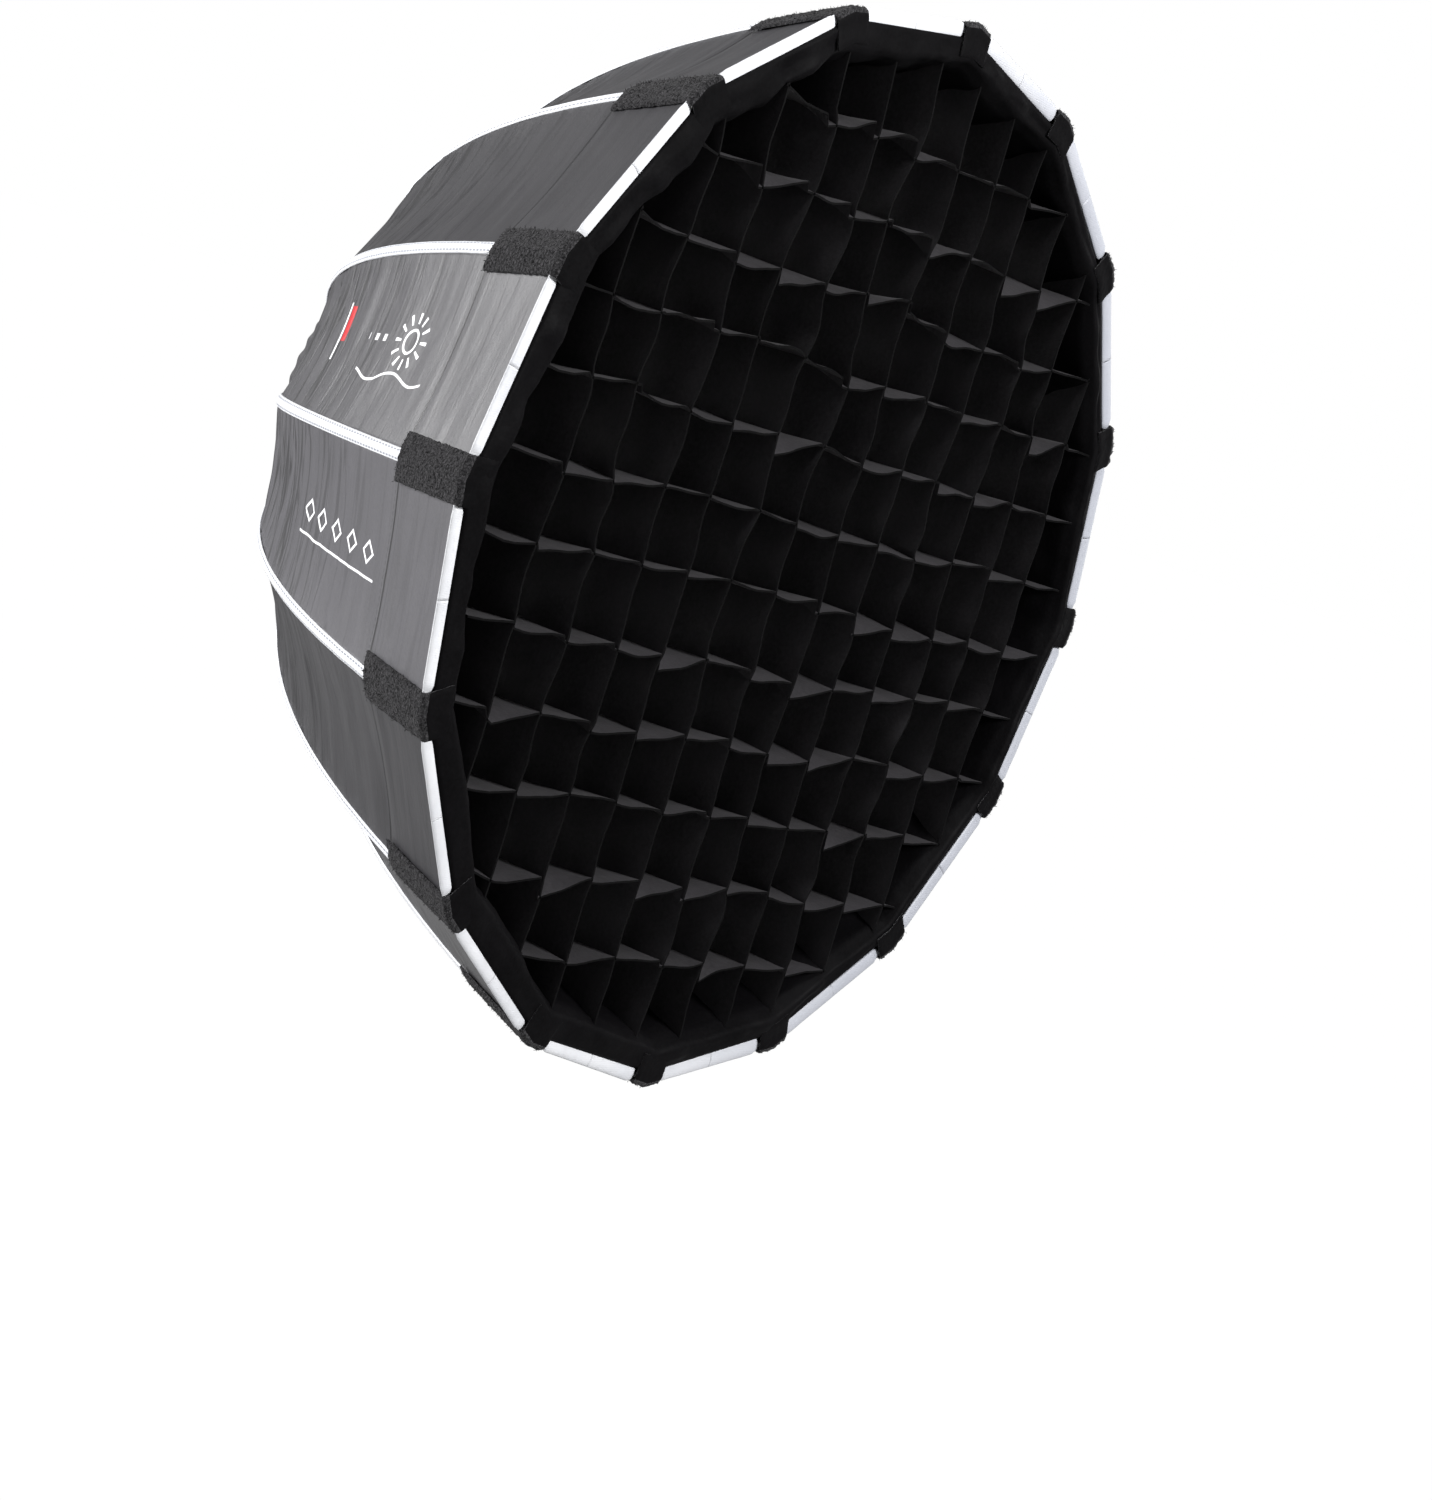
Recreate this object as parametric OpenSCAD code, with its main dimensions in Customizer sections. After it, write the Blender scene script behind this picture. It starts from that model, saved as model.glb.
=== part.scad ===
// Collapsible sixteen-rod dome softbox with bayonet mount, front diffuser and
// egg-crate grid. Units are millimetres. The optical axis is Y: the bayonet
// seat is at y = 0, the lamp side is +Y and the dome opens towards -Y. Z is up.
// Modules are drawn in a local frame whose z runs forward from the seat, and
// place() turns that frame into the one above.

/* [Dome] */
// Thickness of the canopy cloth
cloth_t = 1.2; // [0.9:0.1:1.3]
// Width of each spring-steel rod across the canopy
rod_w = 5; // [4:0.5:5.5]
// Thickness of each rod
rod_t = 2.5; // [2:0.1:2.6]

/* [Hub] */
// Height of the release pads above the seat
pad_h = 23; // [18:0.5:25]
// Length of the bayonet neck behind the seat
neck_l = 13; // [12:0.5:15]
// Width of each bayonet lug, in degrees
lug_deg = 40; // [30:1:50]

/* [Front] */
// Depth of the grid strips from front to back
grid_depth = 48; // [42:1:48]
// Thickness of the grid strips
strip_t = 1.2; // [0.8:0.1:1.4]
// Width of each hook-and-loop tab
tab_w = 24; // [18:1:26]
// Length of each tab along the canopy
tab_l = 55; // [45:1:60]
// Thickness of the diffuser cloth
diff_t = 0.8; // [0.6:0.1:1.2]

/* [Hidden] */
n_rod = 16;
alpha = 180 / n_rod;
eps = 0.01;
// Rod centreline from the hinge pin to the tip, as a cubic curve in (radius, depth).
P0 = [78, 16];
P1 = [160, 62];
P2 = [219, 84];
P3 = [281.3, 296];
pin = P0;
beta = atan2(P1[1] - P0[1], P1[0] - P0[0]);
// The canopy's inner face stands this far outside the rod centreline.
cl_in = 3.0;
cl_out = cl_in + cloth_t;
rim_z = 300;
s_0 = 0.106;
s_rod = 0.115;
pitch = 40;
// The strips and the band round them spread from the rear edge to the front.
grid_r = 243;
grid_front_r = 259;
band_r = 249.5;
band_front_r = 267.5;
flange_r = 281.5;
rear_z = rim_z - grid_depth;
back_deep = 5;
pad_r = [60.5, 64.4];

function bez(s) = pow(1-s,3)*P0 + 3*pow(1-s,2)*s*P1 + 3*(1-s)*s*s*P2 + pow(s,3)*P3;
function dbez(s) = 3*pow(1-s,2)*(P1-P0) + 6*(1-s)*s*(P2-P1) + 3*s*s*(P3-P2);
function dir(s) = let(d = dbez(min(s, 1))) d / norm(d);
function side(s) = let(d = dir(s)) [d[1], -d[0]];
// Point at distance d outside the centreline; s above 1 runs on straight, 100 mm per unit.
function cv(s, d) = bez(min(s, 1)) + side(s)*d + (s > 1 ? dir(1)*(s - 1)*100 : [0, 0]);
// The s at which the curve d outside the centreline reaches depth z beyond the tip.
function s_at(z, d) = 1 + (z - cv(1, d)[1]) / (100*dir(1)[1]);
function steps(a, b, n) = [for (i = [0:n]) a + (b - a)*i/n];

module place() { rotate([90, 0, 0]) children(); }
module at_rod(k) { rotate([0, 0, 90 - 360/n_rod*(k - 1)]) children(); }
// A (radius, depth) outline given a width across the rod.
module slab(w) { rotate([90, 0, 0]) linear_extrude(height = w, center = true) children(); }
module gon(r) { polygon([for (k = [0:n_rod-1]) r*[cos(90 - 360/n_rod*k), sin(90 - 360/n_rod*k)]]); }
module ring(r1, r2, z1, z2) {
  rotate_extrude($fn = 96) polygon([[r1, z1], [r2, z1], [r2, z2], [r1, z2]]);
}

// A folded strip that lies along one rod: its section is a shallow V, so each
// half is flat across and faces the middle of its gore. so and si are the
// stations of the outer and inner faces; half is the half width across the
// rod, or 0 for a strip that runs to the middle of the gore.
module vee(so, si, d_out, d_in, half) {
  n = len(so);
  function pt(q, sg) = half > 0
    ? [q[0] - half*tan(alpha), sg*half, q[1]]
    : [q[0]*cos(alpha)*cos(alpha) + 0.15*sin(alpha), sg*(q[0]*cos(alpha)*sin(alpha) - 0.15*cos(alpha)), q[1]];
  pts = [for (i = [0:n-1]) let(o = cv(so[i], d_out), q = cv(si[i], d_in))
    each [pt(o, 1), [o[0], 0, o[1]], pt(o, -1), pt(q, -1), [q[0], 0, q[1]], pt(q, 1)]];
  polyhedron(points = pts, faces = concat(
    [for (i = [0:n-2]) for (j = [0:5]) [6*i + j, 6*i + (j+1)%6, 6*(i+1) + (j+1)%6, 6*(i+1) + j]],
    [[0, 5, 4, 1], [1, 4, 3, 2]],
    [for (f = [[0, 1, 4, 5], [1, 2, 3, 4]]) [for (v = f) 6*(n-1) + v]]));
}

module speed_ring() { color([0.16, 0.16, 0.17]) place() difference() {
  union() {
    ring(50.5, 93, 3, 5.2);
    ring(50.5, 52.5, 5.2 - eps, 10);
    for (k = [1:n_rod]) at_rod(k) for (sg = [-1, 1]) translate([0, sg*5.9, 0]) slab(3)
      polygon([[54, 5], [54, 10], [64, 10], [70, 20], [73, 22.5], [83, 22.5], [87, 18.5], [88.5, 5]]);
    for (k = [1:2:n_rod]) rotate([0, 0, 360/n_rod*k + alpha]) translate([54.8, 0, 4]) cylinder(r = 3, h = 5.9, $fn = 24);
  }
  for (k = [1:n_rod]) at_rod(k) translate([pin[0], 0, pin[1]]) rotate([90, 0, 0]) cylinder(r = 2.03, h = 20, center = true, $fn = 24);
  for (k = [1:2:n_rod]) rotate([0, 0, 360/n_rod*k + alpha]) translate([54.8, 0, 2]) cylinder(r = 1.3, h = 10, $fn = 16);
}}

module bayonet_mount() { color([0.62, 0.63, 0.65]) place() difference() {
  union() {
    ring(49, 74, 0, 3);
    ring(49, 52.4, -neck_l, eps);
    for (a = [90, 210, 330]) rotate([0, 0, a - lug_deg/2]) rotate_extrude(angle = lug_deg, $fn = 96)
      polygon([[52, -neck_l], [57.4, -neck_l], [57.4, 3.5 - neck_l], [52, 3.5 - neck_l]]);
  }
  for (k = [1:2:n_rod]) rotate([0, 0, 360/n_rod*k + alpha]) translate([54.8, 0, 0.3]) cylinder(r = 1.28, h = 5, $fn = 16);
  translate([-63, 0, -1]) cylinder(r = 2.5, h = 3, $fn = 24);
}}

module clamp_ring() { color([0.1, 0.1, 0.11]) place() difference() {
  ring(50.5, 57.6, 10, 12);
  for (k = [1:2:n_rod]) rotate([0, 0, 360/n_rod*k + alpha]) translate([54.8, 0, 9]) cylinder(r = 1.35, h = 5, $fn = 16);
}}

module ring_screws() { color([0.7, 0.7, 0.72]) place()
  for (k = [1:2:n_rod]) rotate([0, 0, 360/n_rod*k + alpha]) translate([54.8, 0, 0]) difference() {
    union() {
      translate([0, 0, 0.5]) cylinder(r = 1.25, h = 11.8, $fn = 16);
      translate([0, 0, 12]) cylinder(r = 2.3, h = 1.6, $fn = 24);
    }
    translate([0, 0, 12.7]) cylinder(r = 1.1, h = 2, $fn = 6);
  }
}

module hinge_pins() { color([0.72, 0.72, 0.74]) place() for (k = [1:n_rod]) at_rod(k)
  translate([pin[0], 0, pin[1]]) rotate([90, 0, 0]) union() {
    cylinder(r = 2, h = 15.6, center = true, $fn = 24);
    translate([0, 0, 7.5]) cylinder(r = 3, h = 0.8, $fn = 24);
  }
}

module latch_springs() { color([0.75, 0.75, 0.77]) place() for (k = [1:n_rod]) at_rod(k)
  translate([0, 0, 6]) linear_extrude(height = 2.4)
    polygon([[52.6, -3.6], [55.4, -0.3], [55.4, 0.3], [52.6, 3.6], [52.6, 3.0], [54.9, 0], [52.6, -3.0]]);
}

module rear_collar() { color([0.08, 0.08, 0.09]) place() rotate_extrude($fn = 96)
  polygon([[93.4, 3], [94.6, 3], [106.2, 25.6], [105, 25.6]]);
}

// One rod with its hinge foot and its tip shoe.
module rib(k) { place() at_rod(k) {
  s_tip = 0.979;
  s_end = 1 - (1 - s_rod)/13;
  mid = concat([pin + 10.2*[cos(beta), sin(beta)], pin + 25*[cos(beta), sin(beta)]],
    [for (s = steps(s_rod, 1, 13)) bez(s)]);
  nrm = concat([[sin(beta), -cos(beta)], [sin(beta), -cos(beta)]], [for (s = steps(s_rod, 1, 13)) side(s)]);
  color([0.13, 0.13, 0.14]) difference() {
    slab(8) union() {
      translate(pin) circle(r = 5.5, $fn = 32);
      polygon([[66, 13], [78, 10.6], [78, 21.4], [66, 19]]);
      translate(pin) rotate(beta) translate([0, -4]) square([24, 8]);
    }
    translate([pin[0], 0, pin[1]]) rotate([90, 0, 0]) cylinder(r = 2.05, h = 20, center = true, $fn = 24);
    translate([pin[0], 0, pin[1]]) rotate([0, -beta, 0]) translate([10.1, -rod_w/2 - 0.05, -rod_t/2 - 0.05])
      cube([20, rod_w + 0.1, rod_t + 0.1]);
  }
  color([0.55, 0.56, 0.58]) slab(rod_w) polygon(concat(
    [for (i = [0:len(mid)-1]) mid[i] + nrm[i]*rod_t/2],
    [for (i = [len(mid)-1:-1:0]) mid[i] - nrm[i]*rod_t/2]));
  color([0.09, 0.09, 0.1]) difference() {
    slab(rod_w + 1) polygon(concat(
      [for (s = steps(s_tip, 1, 2)) cv(s, rod_t/2 + 0.85)], [cv(1.024, 1.4), cv(1.024, -1.6)],
      [for (s = steps(1, s_tip, 2)) cv(s, -rod_t/2 - 0.85)]));
    slab(rod_w + 0.1) polygon([for (q = [[s_end, 1], [1, 1], [1, -1], [s_end, -1]]) cv(q[0], q[1]*(rod_t/2 + 0.06))]);
  }
}}

// The canopy cloth that hangs on one rod: half a gore to each side of it.
module gore(k) { color([0.2, 0.2, 0.22]) place() at_rod(k)
  vee(concat(steps(s_0, 1, 14), [s_at(rim_z, cl_out)]), concat(steps(s_0, 1, 14), [s_at(rim_z, cl_in)]), cl_out, cl_in, 0);
}

// Spring-loaded release catch that slides towards the axis.
module latch(k) { color([0.7, 0.07, 0.06]) place() at_rod(k)
  slab(7.8) polygon([[55.5, 5.3], [67, 5.3], [67.2, 6.5], [66.2, 8.9], [pad_r[1], 8.9], [pad_r[1], pad_h - 1],
    [pad_r[1] - 1, pad_h], [pad_r[0] + 1, pad_h], [pad_r[0], pad_h - 1], [pad_r[0], 8.9], [55.5, 8.9]]);
}

module diffuser() { color([0.93, 0.93, 0.92]) place() union() {
  translate([0, 0, rear_z - back_deep - 3]) linear_extrude(height = diff_t) gon(260.5);
  translate([0, 0, rear_z - back_deep - 3.8]) linear_extrude(height = 2.4) difference() { gon(260.5); gon(246); }
}}

// Half-lapped strips: the upright ones are notched from behind and the cross
// ones from the front.
module strips(front) {
  for (i = [0:11]) let(u = (i - 5.5)*pitch, l = sqrt(grid_r*grid_r - u*u),
      lf = abs(abs(u) - 180) < 1 ? 178.5 : sqrt(grid_front_r*grid_front_r - u*u))
    difference() {
      translate([u - strip_t/2, 0, 0]) rotate([90, 0, 90]) linear_extrude(height = strip_t)
        polygon([[-l, rear_z], [l, rear_z], [lf, rim_z - 0.1], [-lf, rim_z - 0.1]]);
      for (j = [0:11]) let(v = (j - 5.5)*pitch) if (abs(v) < l - 1)
        translate([u - 3, v - strip_t/2 - 0.3, front ? rear_z + grid_depth/2 - 0.2 : rear_z - 1])
          cube([6, strip_t + 0.6, front ? grid_depth : grid_depth/2 + 1.2]);
    }
}
module grid_upright() { color([0.05, 0.05, 0.055]) place() strips(false); }
module grid_cross() { color([0.06, 0.06, 0.065]) place() rotate([0, 0, 90]) strips(true); }

module grid_border() { color([0.07, 0.07, 0.075]) place() {
  k = band_front_r/band_r;
  h = grid_depth + 1.5;
  difference() {
    union() {
      translate([0, 0, rim_z + 0.3]) linear_extrude(height = 1.2) gon(flange_r);
      translate([0, 0, rear_z]) linear_extrude(height = h, scale = (band_front_r + 1.4)/(band_r + 1.4)) gon(band_r + 1.4);
    }
    translate([0, 0, rear_z - 1]) linear_extrude(height = 1.5) gon(band_r);
    translate([0, 0, rear_z]) linear_extrude(height = h, scale = k) gon(band_r);
    translate([0, 0, rim_z + 1.4]) linear_extrude(height = 1) gon(band_front_r - 0.04);
  }
}}

// Tabs that wrap from the border over the rim and close on the canopy.
module grid_tabs() { color([0.1, 0.1, 0.105]) place() for (k = [1:n_rod]) at_rod(k) {
  d1 = cl_out + 0.4;
  d2 = d1 + 1.5;
  sa = 1 - (tab_l - 6)/(3*norm(P3 - P2));
  zf = rim_z + 1.8;
  so = concat(steps(sa, 1, 4), [s_at(zf + 1.5, d2)]);
  si = concat(steps(sa, 1, 4), [s_at(zf + 1.5, d1)]);
  rr = cv(s_at(zf, d1), d1)[0] + 0.4;
  union() {
    vee(so, si, d2, d1, tab_w/2);
    translate([0, 0, zf]) linear_extrude(height = 1.5)
      polygon([[270, -tab_w/2], [rr - tab_w/2*tan(alpha), -tab_w/2], [rr, 0], [rr - tab_w/2*tan(alpha), tab_w/2], [270, tab_w/2]]);
  }
}}

speed_ring();
bayonet_mount();
clamp_ring();
ring_screws();
hinge_pins();
latch_springs();
rear_collar();
rib(1);  // rib_01
rib(2);  // rib_02
rib(3);  // rib_03
rib(4);  // rib_04
rib(5);  // rib_05
rib(6);  // rib_06
rib(7);  // rib_07
rib(8);  // rib_08
rib(9);  // rib_09
rib(10);  // rib_10
rib(11);  // rib_11
rib(12);  // rib_12
rib(13);  // rib_13
rib(14);  // rib_14
rib(15);  // rib_15
rib(16);  // rib_16
gore(1);  // gore_01
gore(2);  // gore_02
gore(3);  // gore_03
gore(4);  // gore_04
gore(5);  // gore_05
gore(6);  // gore_06
gore(7);  // gore_07
gore(8);  // gore_08
gore(9);  // gore_09
gore(10);  // gore_10
gore(11);  // gore_11
gore(12);  // gore_12
gore(13);  // gore_13
gore(14);  // gore_14
gore(15);  // gore_15
gore(16);  // gore_16
latch(1);  // latch_01
latch(2);  // latch_02
latch(3);  // latch_03
latch(4);  // latch_04
latch(5);  // latch_05
latch(6);  // latch_06
latch(7);  // latch_07
latch(8);  // latch_08
latch(9);  // latch_09
latch(10);  // latch_10
latch(11);  // latch_11
latch(12);  // latch_12
latch(13);  // latch_13
latch(14);  // latch_14
latch(15);  // latch_15
latch(16);  // latch_16
diffuser();
grid_upright();
grid_cross();
grid_border();
grid_tabs();
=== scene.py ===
import bpy, math
import numpy as np
from mathutils import Matrix, Vector, noise

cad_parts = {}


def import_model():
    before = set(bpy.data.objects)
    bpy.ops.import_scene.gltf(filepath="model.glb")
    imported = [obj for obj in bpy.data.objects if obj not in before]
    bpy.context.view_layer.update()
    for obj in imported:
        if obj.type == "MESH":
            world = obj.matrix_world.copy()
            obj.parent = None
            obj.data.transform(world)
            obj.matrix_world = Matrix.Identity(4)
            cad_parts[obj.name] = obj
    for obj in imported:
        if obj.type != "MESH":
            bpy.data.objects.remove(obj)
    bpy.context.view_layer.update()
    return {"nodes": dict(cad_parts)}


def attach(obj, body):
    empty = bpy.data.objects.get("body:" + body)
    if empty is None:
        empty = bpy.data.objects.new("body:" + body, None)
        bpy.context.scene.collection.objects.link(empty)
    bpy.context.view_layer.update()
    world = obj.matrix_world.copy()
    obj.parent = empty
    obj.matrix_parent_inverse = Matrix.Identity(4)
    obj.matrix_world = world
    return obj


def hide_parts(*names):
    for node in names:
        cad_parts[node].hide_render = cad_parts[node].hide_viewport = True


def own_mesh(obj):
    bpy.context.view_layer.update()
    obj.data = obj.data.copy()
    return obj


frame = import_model()
NODES = frame["nodes"]
SCENE = bpy.context.scene
MM = 0.001
ALPHA = math.radians(11.25)
CA, SA, TA = math.cos(ALPHA), math.sin(ALPHA), math.tan(ALPHA)
rng = np.random.default_rng(7)

# ---------------------------------------------------------------- shape
# The rod's centreline in (radius, depth), the same cubic curve as the frame's.
P = np.array([[78, 16], [160, 62], [219, 84], [281.3, 296]], float)
RODS = range(1, 17)
RIM_Z = 300.0
CL_OUT = 4.2      # the cloth's outer face stands this far outside the centreline
S0 = 0.106


def bez(s):
    s = np.asarray(s, float)[..., None]
    return (1-s)**3*P[0] + 3*(1-s)**2*s*P[1] + 3*(1-s)*s*s*P[2] + s**3*P[3]


def tangent(s):
    s = np.minimum(np.asarray(s, float), 1.0)[..., None]
    d = 3*(1-s)**2*(P[1]-P[0]) + 6*(1-s)*s*(P[2]-P[1]) + 3*s*s*(P[3]-P[2])
    return d/np.linalg.norm(d, axis=-1, keepdims=True)


def curve(s, d):
    """(radius, depth) at distance d outside the centreline; s over 1 runs on straight, 100 mm per unit."""
    s = np.asarray(s, float)
    t = tangent(s)
    n = np.stack([t[..., 1], -t[..., 0]], -1)
    over = np.maximum(s - 1, 0)[..., None]*100*t
    return bez(np.minimum(s, 1)) + n*np.asarray(d, float)[..., None] + over


def s_at(z, d):
    return 1 + (z - curve(1.0, d)[1])/(100*tangent(1.0)[1])


S_RIM = s_at(RIM_Z, CL_OUT)
_s = np.linspace(S0, S_RIM, 1500)
_c = curve(_s, np.full(1500, CL_OUT))
_len = np.concatenate([[0], np.cumsum(np.linalg.norm(np.diff(_c, axis=0), axis=1))])
CLOTH_LEN = _len[-1]


def s_back(a):
    """The s at arc length a (mm) back from the rim, along the outside of the cloth."""
    return np.interp(CLOTH_LEN - np.asarray(a, float), _len, _s)


def phi(k):
    return math.radians(90 - 22.5*(k - 1))


def row(k, r, t, w):
    """Rod k's (radius, across, depth) in mm to row coordinates in metres."""
    r, t, w = np.broadcast_arrays(np.asarray(r, float), np.asarray(t, float), np.asarray(w, float))
    c, s = math.cos(phi(k)), math.sin(phi(k))
    return np.stack([r*c - t*s, -w, r*s + t*c], -1)*MM


def front(u, v, w):
    """(right, up, forward) in mm to row coordinates in metres."""
    u, v, w = np.broadcast_arrays(np.asarray(u, float), np.asarray(v, float), np.asarray(w, float))
    return np.stack([u, -w, v], -1)*MM


def point(k, r, t, w):
    """The same as row() for one point, as plain numbers."""
    return tuple(float(x) for x in row(k, r, t, w))


FOLD = math.radians(42.0)


def gather(r, w):
    """How much narrower the cloth is at (r, w) when the dome is shut."""
    r2 = r*CA*CA
    folded = P[0][0] + (r2 - P[0][0])*math.cos(FOLD) - (w - P[0][1])*math.sin(FOLD)
    return folded/r2


# ---------------------------------------------------------------- mesh help
def outwards(verts, faces):
    """The faces of a closed mesh, turned so that they look outwards."""
    pts = np.asarray(verts, float).reshape(-1, 3)
    pts = pts - pts.mean(axis=0)
    fans = np.array([(q[0], q[i], q[i + 1]) for q in faces for i in range(1, len(q) - 1)])
    volume = np.einsum("ij,ij->i", pts[fans[:, 0]], np.cross(pts[fans[:, 1]], pts[fans[:, 2]])).sum()
    return [q[::-1] for q in faces] if volume < 0 else faces


def make(name, verts, faces, mats, face_mat=None, uv=None, body=None, crisp=None):
    """A new piece that rides on body. uv is per vertex; edges bent by more than crisp degrees stay sharp."""
    me = bpy.data.meshes.new(name)
    pts = np.asarray(verts, float).reshape(-1, 3)
    faces = outwards(pts, faces)
    me.from_pydata([tuple(v) for v in pts], [], faces)
    for m in mats:
        me.materials.append(m)
    if face_mat is not None:
        me.polygons.foreach_set("material_index", np.asarray(face_mat, np.int32))
    if uv is not None:
        lay = me.uv_layers.new(name="UVMap")
        idx = np.empty(len(me.loops), np.int32)
        me.loops.foreach_get("vertex_index", idx)
        lay.data.foreach_set("uv", np.asarray(uv, np.float32)[idx].ravel())
    me.polygons.foreach_set("use_smooth", [True]*len(me.polygons))
    if crisp:
        me.set_sharp_from_angle(angle=math.radians(crisp))
    me.update()
    ob = bpy.data.objects.new(name, me)
    SCENE.collection.objects.link(ob)
    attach(ob, body)
    return ob


def grid_faces(n, m, off=0, flip=False, wrap=False):
    """Quads of an n by m grid of vertices, row by row."""
    f = []
    for i in range(n - 1):
        for j in range(m if wrap else m - 1):
            a, b = off + i*m + j, off + i*m + (j+1) % m
            q = (a, b, b + m, a + m)
            f.append(q[::-1] if flip else q)
    return f


def shell(outer, inner, flip=False):
    """Closed thin solid between two n x m grids: (vertices, faces, n_front, n_back)."""
    n, m = outer.shape[:2]
    v = np.concatenate([outer.reshape(-1, 3), inner.reshape(-1, 3)])
    o = n*m
    fo, fi = grid_faces(n, m, 0, flip), grid_faces(n, m, o, not flip)
    rim = list(range(m)) + [i*m + m-1 for i in range(1, n)]
    rim += [(n-1)*m + j for j in range(m-2, -1, -1)] + [i*m for i in range(n-2, 0, -1)]
    e = []
    for a, b in zip(rim, rim[1:] + rim[:1]):
        q = (a, a + o, b + o, b)
        e.append(q[::-1] if flip else q)
    return v, fo + fi + e, len(fo), len(fi)


def tube(line, radius, sides, up, squash):
    """A closed tube along a line of points (metres). radius is per point; squash is (across up, along up)."""
    n = len(line)
    t = np.gradient(line, axis=0)
    t /= np.linalg.norm(t, axis=1, keepdims=True)
    v = []
    for i in range(n):
        a = np.cross(t[i], up)
        a /= np.linalg.norm(a)
        b = np.cross(a, t[i])
        for j in range(sides):
            q = 2*math.pi*j/sides
            v.append(line[i] + radius[i]*(math.cos(q)*a*squash[0] + math.sin(q)*b*squash[1]))
    f = grid_faces(n, sides, 0, True, True)
    f += [tuple(range(sides)), tuple(range(n*sides-1, (n-1)*sides-1, -1))]
    return v, f


# ---------------------------------------------------------------- materials
class Mat:
    """A Principled material. node() takes inputs by socket name or index; a socket as a value is linked."""

    def __init__(self, name, rough=0.7, metal=0.0, spec=0.3, sheen=0.0, sheen_rough=0.4, **own):
        self.m = bpy.data.materials.new(name)
        self.m.use_nodes = True
        self.t = self.m.node_tree
        self.t.nodes.clear()
        self.b = self.t.nodes.new("ShaderNodeBsdfPrincipled")
        out = self.t.nodes.new("ShaderNodeOutputMaterial")
        self.t.links.new(self.b.outputs[0], out.inputs[0])
        for key, value in {"Roughness": rough, "Metallic": metal, "Specular IOR Level": spec,
                           "Sheen Weight": sheen, "Sheen Roughness": sheen_rough, **own}.items():
            self.b.inputs[key].default_value = value
        at = self.t.nodes.new("ShaderNodeTexCoord")
        self.obj, self.uv = at.outputs["Object"], at.outputs["UV"]

    def node(self, kind, inputs=None, **props):
        n = self.t.nodes.new("ShaderNode" + kind)
        for key, value in props.items():
            setattr(n, key, value)
        for key, value in (inputs or {}).items():
            if isinstance(value, bpy.types.NodeSocket):
                self.t.links.new(value, n.inputs[key])
            else:
                n.inputs[key].default_value = value
        return n

    def math(self, op, a, b=0.0, clamp=False):
        return self.node("Math", {0: a, 1: b}, operation=op, use_clamp=clamp).outputs[0]

    def split(self, vec):
        return self.node("SeparateXYZ", {0: vec}).outputs

    def scaled(self, vec, x, y, z=1.0):
        return self.node("Mapping", {"Vector": vec, "Scale": (x, y, z)}).outputs[0]

    def noise(self, vec, scale, detail=2.0, rough=0.5, bend=0.0):
        return self.node("TexNoise", {"Vector": vec, "Scale": scale, "Detail": detail, "Roughness": rough,
                                      "Distortion": bend}).outputs[0]

    def ramp(self, fac, low, high, a=0.0, b=1.0):
        """fac from low..high mapped to a..b, held at the ends."""
        return self.node("MapRange", {0: fac, 1: low, 2: high, 3: a, 4: b}).outputs[0]

    def band(self, fac, centre, half, soft):
        """1 where fac is within half of centre, 0 outside."""
        d = self.math("ABSOLUTE", self.math("SUBTRACT", fac, centre))
        return self.ramp(d, half, half + soft, 1.0, 0.0)

    def mix(self, fac, a, b):
        n = self.node("Mix", {0: fac}, data_type="RGBA")
        for i, v in ((6, a), (7, b)):
            if isinstance(v, bpy.types.NodeSocket):
                self.t.links.new(v, n.inputs[i])
            else:
                n.inputs[i].default_value = (*v, 1.0)
        return n.outputs[2]

    def bump(self, height, strength, mm, under=None):
        n = self.node("Bump", {"Height": height, "Strength": strength, "Distance": mm*MM})
        if under is not None:
            self.t.links.new(under, n.inputs["Normal"])
        return n.outputs[0]

    def done(self, colour=None, rough=None, normal=None):
        for key, value in (("Base Color", colour), ("Roughness", rough), ("Normal", normal)):
            if value is not None:
                self.t.links.new(value, self.b.inputs[key])
        return self.m


SEAM = 55.0    # the sewn line round the canopy, behind the tabs


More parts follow.
